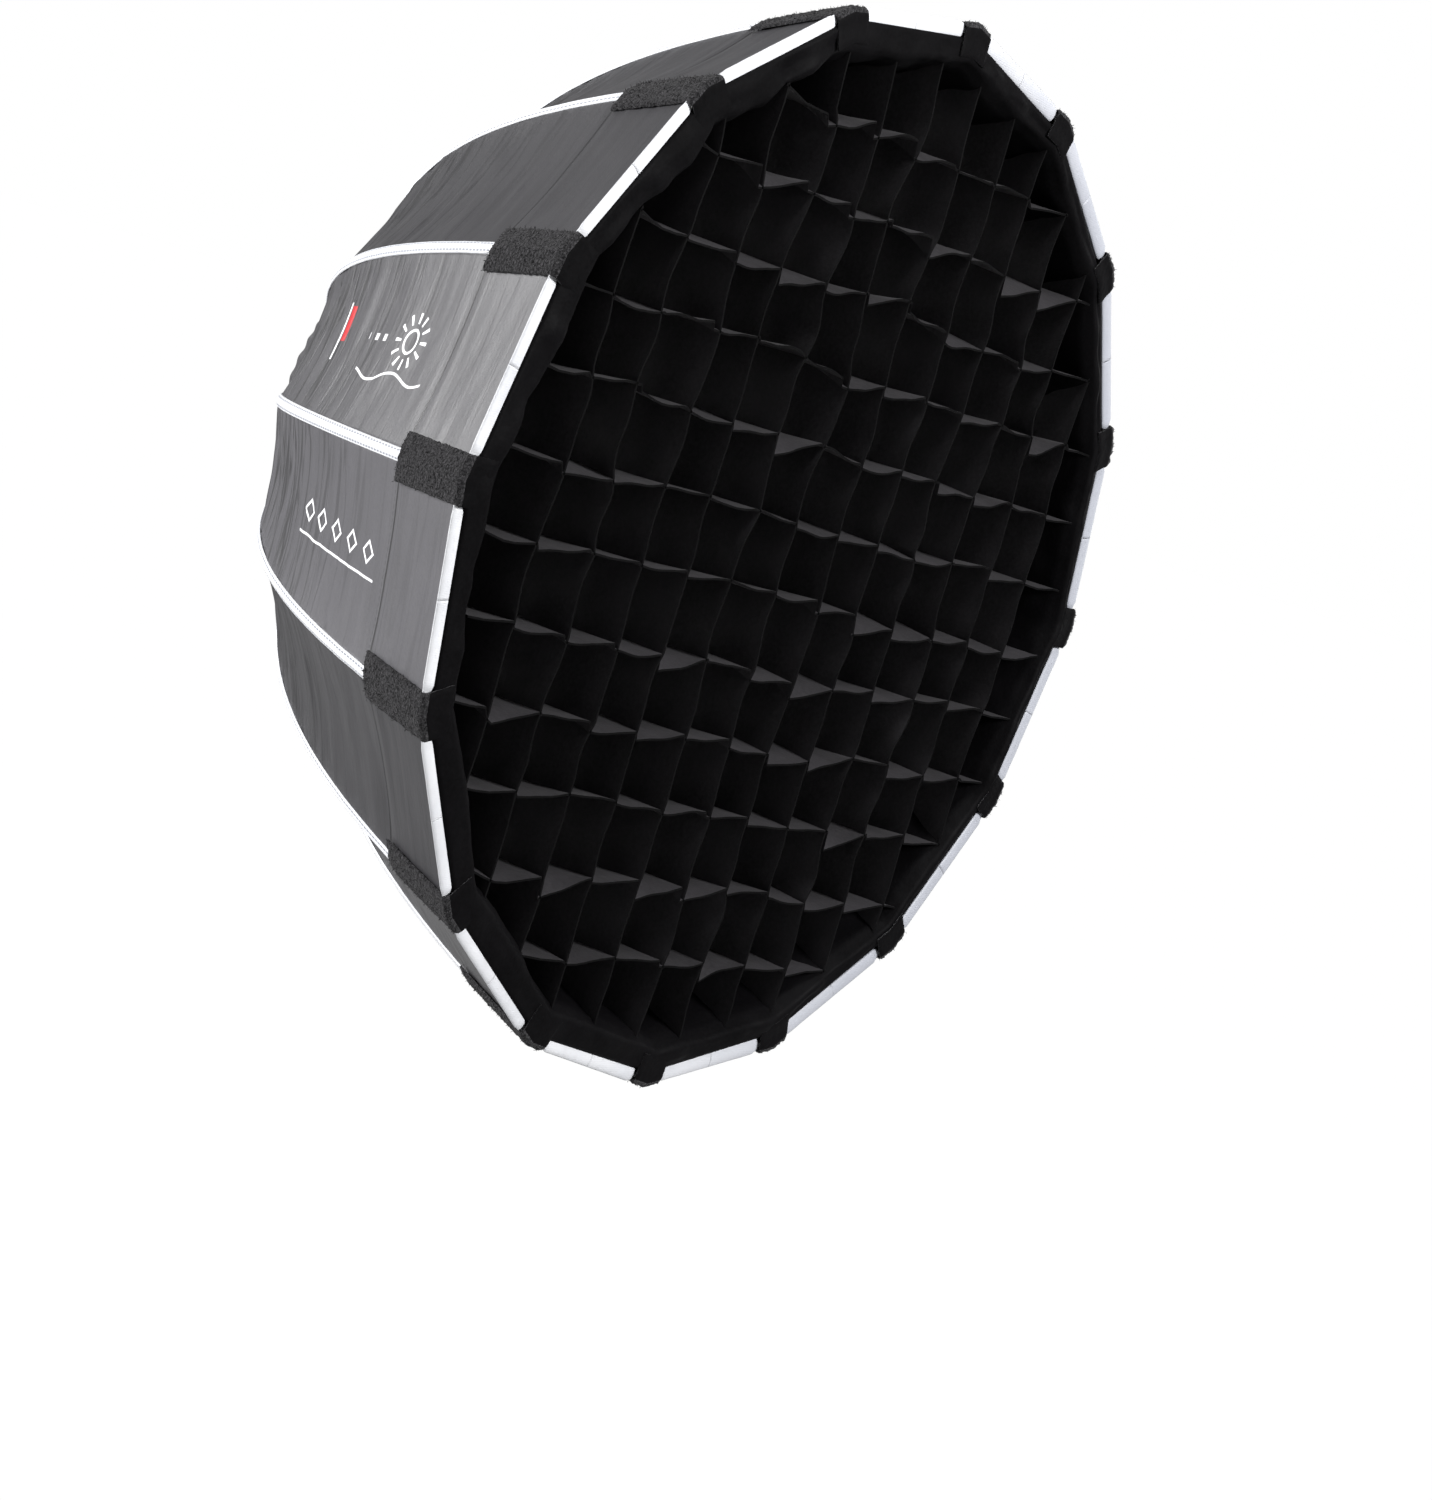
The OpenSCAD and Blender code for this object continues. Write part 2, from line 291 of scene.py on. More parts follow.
def cloth_outside(name, mark=None, tone=1.0, spec=0.55):
    """Charcoal coated cloth; UV is (mm from the gore's middle, mm back from the rim)/100. tone scales the
    colour, and per gore it paints light and shade.
    """
    m = Mat(name, rough=0.45, spec=spec, sheen=0.04*tone, sheen_rough=0.35)

    def shade(*c):
        return tuple(tone*x for x in c)

    x, a = m.split(m.uv)[0:2]
    x = m.math("MULTIPLY", x, 100.0)
    a = m.math("MULTIPLY", a, 100.0)
    streak = m.noise(m.scaled(m.uv, 1.6, 13.0), 1.0, 4.0, 0.6, 0.3)
    cloud = m.noise(m.obj, 14.0, 3.0, 0.55)
    fine = m.noise(m.scaled(m.uv, 60.0, 150.0), 1.0, 2.0, 0.6)
    col = m.mix(m.ramp(streak, 0.3, 0.72), shade(0.036, 0.035, 0.039), shade(0.05, 0.0485, 0.054))
    col = m.mix(m.ramp(cloud, 0.35, 0.7, 0.0, 0.45), col, shade(0.026, 0.0255, 0.029))
    col = m.mix(m.ramp(fine, 0.3, 0.75, 0.0, 0.35), col, shade(0.07, 0.068, 0.074))
    # Long thin fold lines along the rim's direction, more of them towards the hub; their colour is painted shade
    far = m.ramp(a, 70.0, 190.0)
    folds = m.band(m.noise(m.scaled(m.uv, 0.55, 7.5), 1.0, 2.0, 0.45, 0.15), 0.5, 0.008, 0.018)
    more = m.band(m.noise(m.scaled(m.uv, 0.9, 15.0), 1.0, 2.0, 0.5, 0.2), 0.47, 0.01, 0.022)
    folds = m.math("MAXIMUM", folds, m.math("MULTIPLY", more, far))
    folds = m.math("MULTIPLY", folds, m.ramp(far, 0.0, 1.0, 0.15, 0.85))
    line = m.band(a, SEAM, 0.6, 0.35)
    fold = m.band(a, SEAM - 5.0, 0.25, 0.4)
    stitch = m.math("MULTIPLY", m.band(a, SEAM + 2.0, 0.3, 0.25),
                    m.math("GREATER_THAN", m.math("SINE", m.math("MULTIPLY", x, 2*math.pi/3.4)), -0.3))
    # Painted shade: the fold lines darken the colour
    col = m.mix(folds, col, (0.008, 0.0078, 0.009))
    col = m.mix(m.math("MULTIPLY", line, 0.92), col, (0.004, 0.004, 0.005))
    col = m.mix(m.math("MULTIPLY", fold, 0.35), col, (0.02, 0.02, 0.022))
    col = m.mix(m.math("MULTIPLY", stitch, 0.5), col, (0.022, 0.022, 0.025))
    rough = m.ramp(streak, 0.25, 0.75, 0.49, 0.43)
    height = m.math("ADD", m.math("MULTIPLY", streak, 0.45), m.math("MULTIPLY", fine, 0.16))
    height = m.math("SUBTRACT", height, m.math("MULTIPLY", m.math("ADD", line, folds), 0.35))
    normal = m.bump(height, 0.55, 1.1)
    threads = m.math("MULTIPLY", m.math("SINE", m.math("MULTIPLY", x, 2*math.pi/0.8)),
                     m.math("SINE", m.math("MULTIPLY", a, 2*math.pi/0.8)))
    normal = m.bump(threads, 0.25, 0.08, normal)
    if mark:
        white, red = mark(m, x, a)
        worn = m.ramp(fine, 0.2, 0.5, 0.82, 1.0)
        if red is not None:
            col = m.mix(red, col, (0.4, 0.008, 0.012))
        col = m.mix(m.math("MULTIPLY", white, worn), col, (0.8, 0.8, 0.82))
    return m.done(col, rough, normal)


def both(m, *masks):
    out = masks[0]
    for k in masks[1:]:
        out = m.math("MULTIPLY", out, k)
    return out


def either(m, *masks):
    out = masks[0]
    for k in masks[1:]:
        out = m.math("MAXIMUM", out, k)
    return out


def mark_sun(m, x, a):
    """A plain sun, a wavy underline and two side stripes, where the canopy carries a print."""
    dx, da = m.math("SUBTRACT", x, 2.0), m.math("SUBTRACT", a, 97.0)
    r = m.math("SQRT", m.math("ADD", m.math("MULTIPLY", dx, dx), m.math("MULTIPLY", da, da)))
    turn = m.math("ARCTAN2", dx, da)
    disc = m.band(r, 6.0, 0.55, 0.3)
    spokes = m.math("COSINE", m.math("MULTIPLY", turn, 12.0))
    rays = both(m, m.band(r, 12.0, 2.6, 0.3), m.math("GREATER_THAN", spokes, 0.72))
    sway = m.math("MULTIPLY", m.math("SINE", m.math("MULTIPLY", a, 0.14)), 2.6)
    off_wave = m.math("SUBTRACT", x, m.math("SUBTRACT", sway, 17.5))
    wave = both(m, m.band(off_wave, 0.0, 0.5, 0.3), m.band(a, 106.0, 36.0, 1.0))
    gaps = m.math("GREATER_THAN", m.math("SINE", m.math("MULTIPLY", a, 0.62)), 0.45)
    dots = both(m, m.band(x, 2.0, 1.6, 0.3), gaps, m.band(a, 130.0, 13.0, 0.3))
    stripe = both(m, m.band(a, 183.0, 1.3, 0.3), m.band(x, 3.0, 15.0, 0.4))
    red = both(m, m.band(a, 176.0, 2.8, 0.4), m.band(x, 7.0, 9.0, 0.4))
    return either(m, disc, rays, wave, dots, stripe), red


def mark_diamonds(m, x, a):
    """Five small diamonds in a row over a thin line."""
    spacing, middle, half = 19.0, 113.5, 47.0
    cell = m.math("SUBTRACT", m.math("FRACT", m.math("DIVIDE", m.math("SUBTRACT", a, 66.0), spacing)), 0.5)
    along = m.math("MULTIPLY", m.math("ABSOLUTE", cell), spacing)
    d = m.math("ADD", along, m.math("ABSOLUTE", m.math("SUBTRACT", x, 1.0)))
    gems = both(m, m.band(d, 5.2, 0.75, 0.3), m.band(a, middle, half, 0.2))
    line = both(m, m.band(x, -11.0, 0.45, 0.3), m.band(a, middle, half, 0.4))
    return either(m, gems, line), None


def silver_inside():
    m = Mat("silver_cloth", rough=0.34, metal=0.85, spec=0.5)
    crinkle = m.noise(m.obj, 95.0, 5.0, 0.65, 0.4)
    col = m.mix(m.ramp(m.noise(m.obj, 22.0), 0.3, 0.7), (0.62, 0.63, 0.65), (0.8, 0.8, 0.81))
    return m.done(col, m.ramp(crinkle, 0.3, 0.7, 0.28, 0.42), m.bump(crinkle, 0.5, 0.7))


def piping_cloth(name, tone=1.0, groove=False):
    """White edge tape, ribbed, with painted shade towards +X; tone darkens it and groove adds the two stitched
    lines of the rod piping.
    """
    m = Mat(name, rough=0.48, spec=0.4, sheen=0.1)

    def shade(*c):
        return tuple(tone*x for x in c)

    n = m.noise(m.obj, 240.0, 3.0, 0.6)
    n2 = m.noise(m.obj, 30.0, 2.0)
    col = m.mix(m.ramp(n2, 0.35, 0.7), shade(0.8, 0.805, 0.83), shade(0.7, 0.71, 0.745))
    col = m.mix(m.ramp(n, 0.3, 0.8, 0.0, 0.25), col, (0.62, 0.64, 0.68))
    # Painted shade: greyer and bluer towards +X, the side of the tape that lies in shade
    col = m.mix(m.ramp(m.split(m.obj)[0], -0.05, 0.16, 0.0, 0.85), col, (0.25, 0.26, 0.295))
    height = n
    if groove:
        x = m.math("MULTIPLY", m.split(m.uv)[0], 100.0)
        a = m.math("MULTIPLY", m.split(m.uv)[1], 100.0)
        line = m.band(m.math("ABSOLUTE", x), 2.0, 0.32, 0.25)
        stitches = m.math("SINE", m.math("MULTIPLY", a, 2*math.pi/3.0))
        line = m.math("MULTIPLY", line, m.ramp(stitches, -0.6, -0.2, 0.25, 1.0))
        col = m.mix(m.math("MULTIPLY", line, 0.9), col, (0.16, 0.17, 0.2))
        height = m.math("SUBTRACT", n, line)
    rib = m.math("SINE", m.math("MULTIPLY", m.split(m.obj)[2], 2*math.pi/0.0011))
    height = m.math("ADD", height, m.math("MULTIPLY", rib, 0.12))
    return m.done(col, m.ramp(n, 0.3, 0.7, 0.42, 0.55), m.bump(height, 0.45, 0.35))


def loop_fuzz():
    m = Mat("loop_fuzz", rough=0.9, spec=0.08, sheen=0.06, sheen_rough=0.5)
    knots = m.node("TexVoronoi", {"Vector": m.obj, "Scale": 620.0, "Randomness": 1.0}).outputs["Distance"]
    speck = m.noise(m.obj, 900.0, 4.0, 0.75)
    cloud = m.noise(m.obj, 60.0, 2.0)
    col = m.mix(m.ramp(speck, 0.42, 0.72), (0.0025, 0.0025, 0.003), (0.062, 0.06, 0.064))
    col = m.mix(m.ramp(cloud, 0.4, 0.75, 0.0, 0.5), col, (0.022, 0.021, 0.023))
    return m.done(col, m.ramp(speck, 0.3, 0.7, 0.95, 0.75), m.bump(m.math("ADD", speck, knots), 0.9, 1.1))


def black_cloth(name, dark, light, spec, sheen, crease=1.0):
    m = Mat(name, rough=0.62, spec=spec, sheen=sheen, sheen_rough=0.4)
    grain = m.noise(m.obj, 480.0, 3.0, 0.65)
    cloud = m.noise(m.obj, 18.0, 3.0, 0.6, 0.4)
    col = m.mix(m.ramp(grain, 0.3, 0.75), dark, light)
    col = m.mix(m.ramp(cloud, 0.4, 0.75, 0.0, 0.5), col, tuple(1.5*c for c in light))
    creases = m.math("MULTIPLY", m.noise(m.obj, 60.0, 4.0, 0.6), crease)
    height = m.math("ADD", m.math("MULTIPLY", grain, 0.25), creases)
    return m.done(col, m.ramp(cloud, 0.3, 0.7, 0.7, 0.5), m.bump(height, 0.5, 0.8))


def diffusion():
    m = Mat("diffusion_cloth", rough=0.75, spec=0.2, sheen=0.1)
    grain = m.noise(m.obj, 700.0, 3.0, 0.6)
    cloud = m.noise(m.obj, 9.0, 3.0)
    col = m.mix(m.ramp(cloud, 0.3, 0.7), (0.86, 0.86, 0.85), (0.92, 0.92, 0.91))
    col = m.mix(m.ramp(grain, 0.35, 0.8, 0.0, 0.3), col, (0.76, 0.76, 0.76))
    height = m.math("ADD", grain, m.math("MULTIPLY", cloud, 2.0))
    return m.done(col, m.ramp(cloud, 0.3, 0.7, 0.8, 0.68), m.bump(height, 0.35, 0.3))


def metal(name, dark, light, rough, brush=(500.0, 500.0, 500.0), metallic=1.0, spec=0.5, bump=0.12):
    m = Mat(name, rough=rough, metal=metallic, spec=spec)
    grain = m.noise(m.scaled(m.obj, *brush), 1.0, 3.0, 0.6)
    smudge = m.noise(m.obj, 45.0, 3.0, 0.6, 0.5)
    col = m.mix(m.ramp(grain, 0.3, 0.7), dark, light)
    col = m.mix(m.ramp(smudge, 0.45, 0.75, 0.0, 0.4), col, tuple(0.75*c for c in dark))
    return m.done(col, m.ramp(smudge, 0.3, 0.7, rough - 0.07, rough + 0.1), m.bump(grain, bump, 0.25))


def rod_material():
    """Black moulded foot and tip shoe, with the spring steel rod between them."""
    m = Mat("rod_steel", rough=0.35, metal=1.0, spec=0.5)
    x, y, z = m.split(m.obj)
    r = m.math("SQRT", m.math("ADD", m.math("MULTIPLY", x, x), m.math("MULTIPLY", z, z)))
    # In metres: the foot ends at this radius, and the tip shoe starts at this depth
    black = either(m, m.ramp(r, 0.1008, 0.1010, 1.0, 0.0), m.ramp(y, -0.2822, -0.2818, 1.0, 0.0))
    grain = m.noise(m.obj, 420.0, 3.0, 0.6)
    smear = m.noise(m.scaled(m.obj, 40.0, 12.0, 40.0), 1.0, 3.0)
    steel = m.mix(m.ramp(smear, 0.3, 0.7), (0.42, 0.43, 0.45), (0.62, 0.63, 0.65))
    moulded = m.mix(m.ramp(grain, 0.3, 0.7), (0.014, 0.014, 0.015), (0.03, 0.03, 0.032))
    m.t.links.new(m.ramp(black, 0.0, 1.0, 1.0, 0.0), m.b.inputs["Metallic"])
    rough = m.math("ADD", m.ramp(grain, 0.3, 0.7, 0.26, 0.36), m.math("MULTIPLY", black, 0.22))
    return m.done(m.mix(black, steel, moulded), rough, m.bump(grain, 0.2, 0.2))


def moulded(name, dark, light, rough, spec=0.45):
    m = Mat(name, rough=rough, spec=spec)
    grain = m.noise(m.obj, 900.0, 2.0, 0.5)
    cloud = m.noise(m.obj, 70.0, 3.0)
    col = m.mix(m.ramp(cloud, 0.3, 0.7), dark, light)
    return m.done(col, m.ramp(grain, 0.3, 0.7, rough - 0.06, rough + 0.08), m.bump(grain, 0.3, 0.12))


# Painted light and shade: the plain gores get a darker tone (0.62) and the diamonds gore a lighter one (1.4), in
# place of how the lamps light each gore.
PLAIN = cloth_outside("canopy_cloth", None, 0.62, 0.4)
PRINTS = {13: cloth_outside("canopy_cloth_sun", mark_sun),      # by gore; gore 13 lies between rods 13 and 14
          12: cloth_outside("canopy_cloth_diamonds", mark_diamonds, 1.4, 0.75)}
SILVER = silver_inside()
WHITE = piping_cloth("white_piping", 0.74, True)
CORD = piping_cloth("rim_piping", 0.66)
FUZZ = loop_fuzz()
BORDER = black_cloth("border_cloth", (0.001, 0.0009, 0.0011), (0.0026, 0.0024, 0.0028), 0.03, 0.0)
GRIDCLOTH = black_cloth("grid_cloth", (0.011, 0.0102, 0.0114), (0.021, 0.0198, 0.0218), 0.12, 0.03, 0.6)
COLLAR = black_cloth("collar_cloth", (0.02, 0.0195, 0.0215), (0.042, 0.041, 0.045), 0.3, 0.2)
# Painted shade: a darker copy of the grid cloth for the strips' edge faces, so that their front edges stay dark
# under the lamps
GRID_EDGE_SHADE = black_cloth("grid_edge_shade", (0.001, 0.001, 0.0011), (0.0025, 0.0024, 0.0026), 0.04, 0.0, 0.6)
DIFFUSER = diffusion()

METALS = {
    "speed_ring": metal("hub_black", (0.02, 0.02, 0.022), (0.035, 0.035, 0.038), 0.42, (300.0,)*3, 0.6),
    "clamp_ring": metal("clamp_black", (0.016, 0.016, 0.018), (0.03, 0.03, 0.032), 0.36, (420.0,)*3, 0.6),
    "bayonet_mount": metal("mount_alloy", (0.55, 0.56, 0.58), (0.72, 0.73, 0.75), 0.3, (900.0, 60.0, 900.0)),
    "ring_screws": metal("screw_steel", (0.5, 0.5, 0.52), (0.7, 0.7, 0.72), 0.28, (700.0,)*3),
    "hinge_pins": metal("pin_steel", (0.52, 0.52, 0.54), (0.72, 0.72, 0.74), 0.25, (800.0,)*3),
}
LEAF = metal("leaf_steel", (0.5, 0.52, 0.56), (0.7, 0.72, 0.76), 0.3, (600.0,)*3)
ROD = rod_material()
RED = moulded("latch_red", (0.42, 0.012, 0.01), (0.6, 0.02, 0.016), 0.4)


def dress(node, mat):
    """Give a CAD node its material."""
    NODES[node].data.materials.clear()
    NODES[node].data.materials.append(mat)


for node, mat in METALS.items():
    dress(node, mat)
for k in RODS:
    dress(f"rib_{k:02d}", ROD)
    dress(f"latch_{k:02d}", RED)


# ---------------------------------------------------------------- canopy
CLOTH_T = 1.0                           # mm
SAG = 4.2                               # mm, at the middle of a gore
CREASED = {14: 1.7, 12: 1.25, 11: 1.2}  # gores whose pull folds are stronger than the others'


def pulled(g, x, a, h):
    """How far (mm) gore g's cloth stands out x mm from its middle and a mm back; h is its half width."""
    u = np.clip(np.abs(x)/h, 0, 1)
    back = np.clip(a/CLOTH_LEN, 0, 1)
    sag = -SAG*(1 - u*u)*np.sin(np.pi*back)**0.8
    free = (1 - u**4)*np.clip(a/14.0, 0, 1)
    amp = CREASED.get(g, 1.0)*(0.30 + 1.5*back*back)
    out = np.empty(np.broadcast(x, a).shape)
    xb, ab = np.broadcast_arrays(x, a)
    for i in np.ndindex(out.shape):
        xi, ai = float(xb[i]), float(ab[i])
        n1 = noise.noise(Vector((xi*0.012 + 7.3*g, ai*0.045, g*3.1)))
        n2 = noise.noise(Vector((xi*0.02 - 5.1*g, ai*0.11 + xi*0.006, 40 + g*1.7)))
        n3 = noise.noise(Vector((xi*0.05 + g, ai*0.30, 80 - g*2.3)))
        n4 = noise.noise(Vector((xi*0.009 - 3.3*g, ai*0.075 + xi*0.002*(g % 5 - 2), 120 + g*1.3)))
        out[i] = n1*1.7 + n2*1.2 + n3*0.5 + (0.45 - abs(n4)*3.0)*0.9*(abs(n4) < 0.3)
    out = out*amp*free
    seam = -0.55*np.exp(-((a - SEAM)/2.2)**2)*free + 0.25*np.exp(-((a - SEAM + 6)/3.0)**2)*free
    pucker = 0.35*np.sin(a*2*np.pi/11.0 + 2.0*g)*np.exp(-(1 - u)*h/9.0)*u*np.clip(1 - u, 0, 0.15)/0.15
    return sag + out + seam + pucker


def before(k):
    """The rod, and the gore, before rod k."""
    return (k - 2) % 16 + 1


def cloth_line(a):
    """At distances a back from the rim: (radius, depth, half gore width) and the gore's outward normal."""
    s = s_back(a)
    c, t = curve(s, np.full(len(s), CL_OUT)), tangent(s)
    size = np.hypot(t[:, 0]*CA, t[:, 1])
    return c[:, 0], c[:, 1], c[:, 0]*SA, t[:, 1]/size, -t[:, 0]*CA/size


def canopy_grid(k, f, a):
    """Rod k's cloth at shares f of the half gores and distances a: outer and inner points, x and a."""
    r, w, h, nr, nw = (q[:, None] for q in cloth_line(a))
    side = np.sign(f)[None, :]
    u = np.abs(f)[None, :]
    rp, tp = r - u*h*SA, side*u*h*CA
    x = side*(1 - u)*h
    d = np.zeros(np.broadcast(x, r).shape)
    plus, minus = f > 0, f < 0
    d[:, plus] = pulled(before(k), x[:, plus], a[:, None], h)
    d[:, minus] = pulled(k, x[:, minus], a[:, None], h)

    def at(off):
        return row(k, rp + off*nr*CA, tp + off*nr*SA*side, w + off*nw)
    return at(d), at(d - CLOTH_T), x + 0*d, a[:, None] + 0*d


def beyond(k, side):
    """One column of points past the gore's middle, so that the shading runs through the join."""
    r, w, h, nr, nw = cloth_line(ARCS)
    u = 1 + 1/LATERAL
    d = pulled(before(k) if side > 0 else k, -side*h/LATERAL, ARCS, h)
    return row(k, r - u*h*SA + d*nr*CA, side*(u*h*CA + d*nr*SA), w + d*nw)


LATERAL = 12      # columns of cloth to each side of a rod
# Each rod's cloth is cut into rings at these distances back from the rim.
RINGS = [0.0, 28.0, SEAM, 100.0, 145.0, 190.0, 240.0, CLOTH_LEN - 0.5]
F = np.linspace(-1, 1, 2*LATERAL + 1)
STEP = 3.4
arcs, cuts = [], [0]
for lo, hi in zip(RINGS, RINGS[1:]):
    n = max(3, int(round((hi - lo)/STEP)))
    arcs += list(np.linspace(lo, hi, n + 1)[(1 if arcs else 0):])
    cuts.append(len(arcs) - 1)
ARCS = np.array(arcs)
# How much of its width each ring keeps when the dome is shut
AT_ENDS = [float(gather(*curve(s_back(a), CL_OUT))) for a in RINGS]
KEEP = [0.45*a + 0.55*b for a, b in zip(AT_ENDS, AT_ENDS[1:])]
KEEP[-1] = 0.8*AT_ENDS[-2] + 0.2*AT_ENDS[-1]


def set_normals(ob, normals):
    ob.data.normals_split_custom_set_from_vertices([tuple(n) for n in normals])


def side_normals(p):
    """Unit normals of a grid of points, from its neighbours."""
    n = np.cross(np.gradient(p, axis=0), np.gradient(p, axis=1))
    return n/np.linalg.norm(n, axis=-1, keepdims=True)


def quad_area(p):
    a, b, c, d = p[:-1, :-1], p[:-1, 1:], p[1:, 1:], p[1:, :-1]
    halves = np.cross(b - a, c - a), np.cross(c - a, d - a)
    return 0.5*sum(np.linalg.norm(q, axis=-1) for q in halves).sum()


def closed(p):
    """A grid of points that runs round, with its first column repeated at the end."""
    return np.concatenate([p, p[:, :1]], axis=1)


def round_shell(a, b, flip):
    """Vertices and faces of a closed band between the point grids a and b, whose rows run round."""
    m, n = a.shape[:2]
    f = grid_faces(m, n, 0, flip, True) + grid_faces(m, n, m*n, not flip, True)
    for i in (0, m - 1):
        for j in range(n):
            q = (i*n + j, i*n + (j + 1) % n, m*n + i*n + (j + 1) % n, m*n + i*n + j)
            f.append(q[::-1] if flip == (i == 0) else q)
    return np.concatenate([a.reshape(-1, 3), b.reshape(-1, 3)]), f


def sheet_of(ob, area, width, length, held, **more):
    """Return ob as it is; area, width, length, held and more are not used."""
    return ob


def ring_pieces(k):
    """Rod k's rings of cloth: (object, area, outer points) each."""
    outer, inner, x, a = canopy_grid(k, F, ARCS)
    full = np.concatenate([beyond(k, -1)[:, None], outer, beyond(k, 1)[:, None]], axis=1)
    normals = side_normals(full)[:, 1:-1]
    if normals[len(ARCS)//2, LATERAL] @ row(k, 1, 0, 0) <= 0:
        normals = -normals
    mats = [PRINTS.get(before(k), PLAIN), SILVER, PRINTS.get(k, PLAIN)]
    rings = []
    for i, (lo, hi) in enumerate(zip(cuts, cuts[1:])):
        po = outer[lo:hi + 1]
        v, f, nf, nb = shell(po, inner[lo:hi + 1])
        column = np.tile(np.arange(2*LATERAL), len(po) - 1)
        slots = np.zeros(len(f), int)
        slots[:nf] = np.where(column < LATERAL, 2, 0)      # the minus side is gore k
        slots[nf:nf + nb] = 1
        uv = np.stack([x[lo:hi + 1], a[lo:hi + 1]], -1).reshape(-1, 2)/100
        ob = make(f"canopy_{k:02d}_ring_{i + 1}", v, f, mats, slots, np.concatenate([uv, uv]),
                  body=f"rod_{k:02d}")
        nn = normals[lo:hi + 1].reshape(-1, 3)
        set_normals(ob, np.concatenate([nn, -nn]))
        if i == 0:
            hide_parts(f"gore_{k:02d}")
        rings.append((ob, quad_area(po), po))
    return rings


def rod_piping(k):
    """Flat white piping over the rod, with a groove down each side."""
    along = np.linspace(49.0, CLOTH_LEN - 1.0, 90)
    half = 3.2
    t = np.array([-half, -half + 0.4, -2.1, -0.9, 0, 0.9, 2.1, half - 0.4, half])
    puff = np.array([-0.35, 0.45, 0.28, 0.75, 0.95, 0.75, 0.28, 0.45, -0.35])
    s = s_back(along)
    wobble = np.array([0.18*noise.noise(Vector((float(q)*0.08, k*5.0, 0.0))) for q in along])
    top, low = curve(s, CL_OUT + 0.25 + wobble), curve(s, CL_OUT - 0.5)
    nrm = np.stack([tangent(s)[:, 1], -tangent(s)[:, 0]], -1)
    across = t + 0*top[:, :1]
    o = row(k, top[:, :1] - np.abs(t)*TA + puff*nrm[:, :1], across, top[:, 1:] + puff*nrm[:, 1:])
    q = row(k, low[:, :1] - np.abs(t)*TA, across, low[:, 1:] + 0*t)
    v, f, _, _ = shell(o, q)
    uv = np.stack([across, along[:, None] + 0*t], -1).reshape(-1, 2)/100
    return make(f"rod_piping_{k:02d}", v, f, [WHITE], uv=np.concatenate([uv, uv]),
                body=f"rod_{k:02d}")


def rim_piping(k):
    """Flat white tape along the rim, from the middle of one gore to the middle of the next."""
    share = np.linspace(-1, 1, 61)
    r, w = curve(s_back(0.0), CL_OUT)
    h = r*SA
    wave = np.array([0.35*noise.noise(Vector((float(z)*4.0 + 9*k, 1.0, 2.0)))*(1 - abs(z)) for z in share])
    under = 1/(1 + np.exp((np.abs(share)*h - 13.0)*2.2))      # 1 where a tab covers it, 0 elsewhere
    line = row(k, r - 2.4 + 1.4*under - np.abs(share)*h*SA + wave, share*h*CA, w - 0.6*under + 0.5*wave)
    v, f = tube(line, (1.5 - 0.75*under)*MM, 14, (0, 1, 0), (3.2, 0.9))
    return make(f"rim_piping_{k:02d}", v, f, [CORD], body=f"rod_{k:02d}")


for k in RODS:
    rings, pipe, cord = ring_pieces(k), rod_piping(k), rim_piping(k)
    sewn_on = {0: [cord], 3: [pipe]}
    for i, (ob, area, po) in enumerate(rings):
        width = float(np.linalg.norm(np.diff(po[0], axis=0), axis=1).sum())*1.01
        length = (ARCS[cuts[i + 1]] - ARCS[cuts[i]])*MM*1.02
        sheet_of(ob, area, width, length, "stretched", with_pieces=sewn_on.get(i, []))
        point(k, 0, 0, 0)
        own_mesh(ob)
    point(k, 0, 0, 0)
    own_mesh(cord)


# ---------------------------------------------------------------- grid front
def poly_r(R, th):
    """Distance to the edge of a 16-gon with corners at R, in direction th."""
    step = 2*ALPHA
    m = np.mod(th - math.pi/2 + ALPHA, step) - ALPHA
    return R*CA/np.cos(np.abs(m) - ALPHA)


def bumpy(p, scale, seed, octaves=2):
    """Fractal noise at every point of the grid p."""
    p = np.asarray(p, float)
    at = p.reshape(-1, 3)*scale + np.array([seed, 0.0, -seed])
    return np.array([noise.fractal(Vector(q), 0.8, 2.1, octaves) for q in at]).reshape(p.shape[:-1])


def ring_shell(path, thick, n, name, mat, body, dig, slack=None):
    """A closed band swept round the 16-gon.

    path holds (R, depth) points, and the cloth's thickness lies to the right of it. dig moves the
    surface along its normal, and slack lets it hang in towards the axis.
    """
    path = np.asarray(path, float)
    th = np.linspace(0, 2*math.pi, n, endpoint=False)
    t = np.gradient(path, axis=0)
    t /= np.linalg.norm(t, axis=1, keepdims=True)
    nn = np.stack([-t[:, 1], t[:, 0]], -1)

    def swept(R, w):
        r = poly_r(1.0, th)[None, :]*R
        return front(r*np.cos(th), r*np.sin(th), w + 0*r)

    d = dig(swept(path[:, :1], path[:, 1:]), th, path)
    R = (path[:, :1] + nn[:, :1]*d) - (0 if slack is None else slack(th, path))
    w = path[:, 1:] + nn[:, 1:]*d
    a, b = swept(R, w), swept(R - nn[:, :1]*thick, w - nn[:, 1:]*thick)
    v, f = round_shell(a, b, False)
    return make(name, v, f, [mat], body=body), quad_area(closed(a))


def border_dig(p, th, path):
    """Creases (mm) of the border cloth, which end at its outer edge and at the rear of its inner band."""
    inwards = np.clip((path[0, 0] - path[:, 0])/6.0, 0, 1)
    at_rear = np.clip(np.arange(len(path))[::-1]/4.0, 0, 1)
    worn = 1 + 0.9*np.exp(-((th - 2.0)/0.8)**2)[None, :]       # more creased at the top left
    return (bumpy(p, 22.0, 3.0, 3)*1.9 + bumpy(p, 60.0, 9.0, 2)*0.9)*(inwards*at_rear)[:, None]*worn


